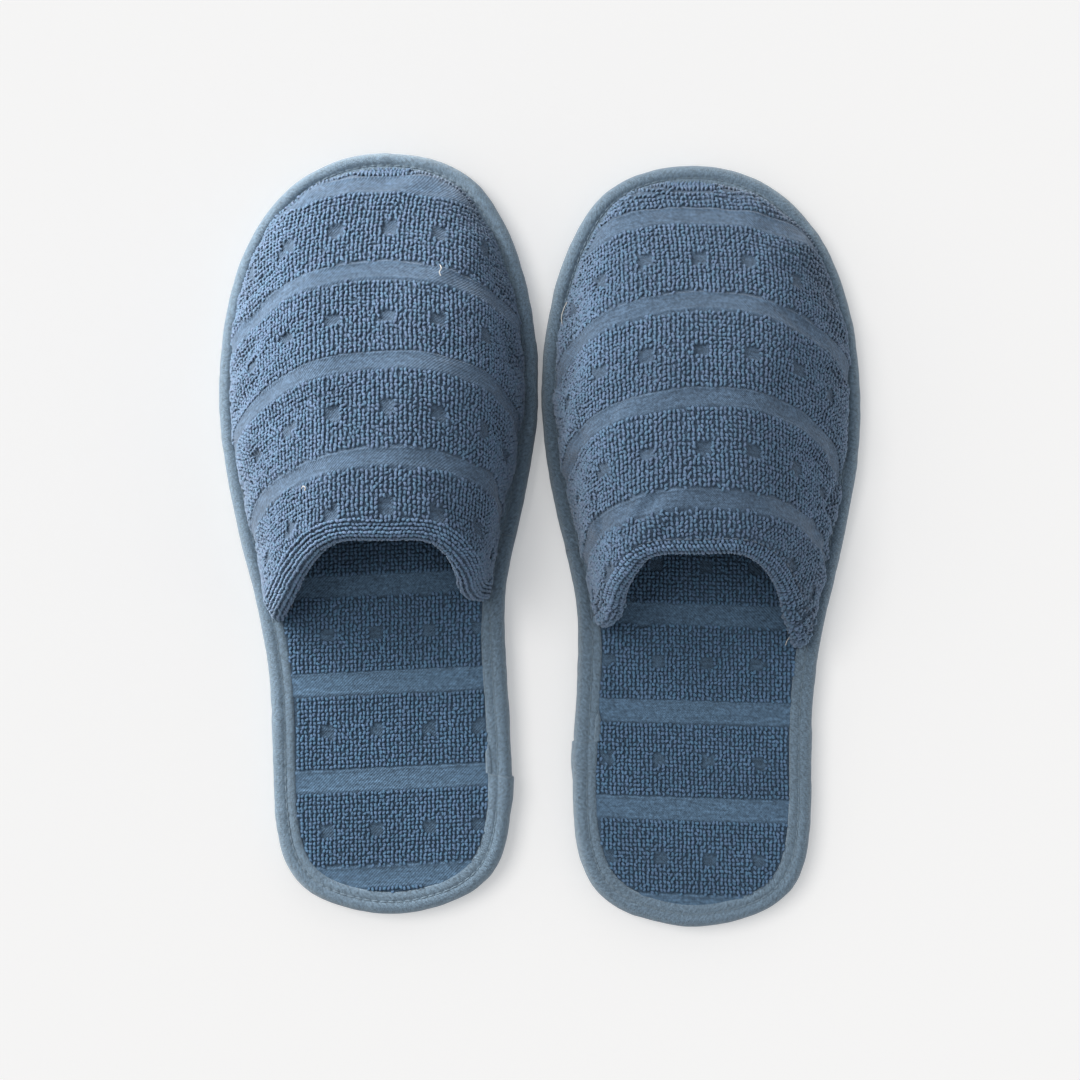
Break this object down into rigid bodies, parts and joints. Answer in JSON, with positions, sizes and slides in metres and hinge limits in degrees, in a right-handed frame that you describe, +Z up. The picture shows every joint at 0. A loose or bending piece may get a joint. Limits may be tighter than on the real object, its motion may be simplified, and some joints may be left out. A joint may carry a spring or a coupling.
{
  "type": "pair of terry spa slippers",
  "caption": "Closed-toe, open-heel padded terry slippers with woven edge binding and flat foam soles; each sole flexes just behind the upper.",
  "frame": {"origin": "centre of the pair's bounding box, on the floor", "axes": "+Y from heel to toe, +Z up from the floor, +X to the wearer's right, so the left slipper is at negative X"},
  "size_m": [0.2366, 0.285, 0.0603],
  "materials": {
    "terry_insole": "blue-grey cotton loop pile with flat woven bands, matt",
    "terry_upper": "blue-grey cotton loop pile with flat woven bands, matt",
    "binding_twill": "fine twill tape, softly lustrous, grey-blue",
    "sewing_thread": "spun polyester thread, grey-blue",
    "sole_eva": "matt foamed EVA sheet with a fine raised tread",
    "sole_foam": "open-cell cushioning foam",
    "padding_foam": "soft polyester padding",
    "lining_cloth": "plain thin tricot lining, matt"
  },
  "bodies": {
    "left_forefoot": {"left_outsole_front": "sole_eva", "left_midsole_front": "sole_foam", "left_insole_front": "terry_insole", "left_binding_front": "binding_twill", "left_binding_thread_front": "sewing_thread", "left_upper_shell": "terry_upper", "left_upper_padding": "padding_foam", "left_upper_lining": "lining_cloth", "left_hem_thread": "sewing_thread"},
    "left_heel": {"left_outsole_heel": "sole_eva", "left_midsole_heel": "sole_foam", "left_insole_heel": "terry_insole", "left_binding_heel": "binding_twill", "left_binding_thread_heel": "sewing_thread"},
    "right_forefoot": {"right_outsole_front": "sole_eva", "right_midsole_front": "sole_foam", "right_insole_front": "terry_insole", "right_binding_front": "binding_twill", "right_binding_thread_front": "sewing_thread", "right_upper_shell": "terry_upper", "right_upper_padding": "padding_foam", "right_upper_lining": "lining_cloth", "right_hem_thread": "sewing_thread"},
    "right_heel": {"right_outsole_heel": "sole_eva", "right_midsole_heel": "sole_foam", "right_insole_heel": "terry_insole", "right_binding_heel": "binding_twill", "right_binding_thread_heel": "sewing_thread"}
  },
  "joints": [
    {"name": "right_slipper_slide", "type": "slide", "parent": "left_forefoot", "child": "right_forefoot", "axis": [1, 0, 0], "range_m": [0, 0.16]},
    {"name": "left_heel_flex", "type": "hinge", "parent": "left_forefoot", "child": "left_heel", "pos_m": [-0.0573, -0.042, 0.0115], "axis": [-1, 0, 0], "range_deg": [0, 70]},
    {"name": "right_heel_flex", "type": "hinge", "parent": "right_forefoot", "child": "right_heel", "pos_m": [0.0583, -0.0466, 0.0115], "axis": [-0.9999, -0.0122, 0], "range_deg": [0, 70]}
  ]
}
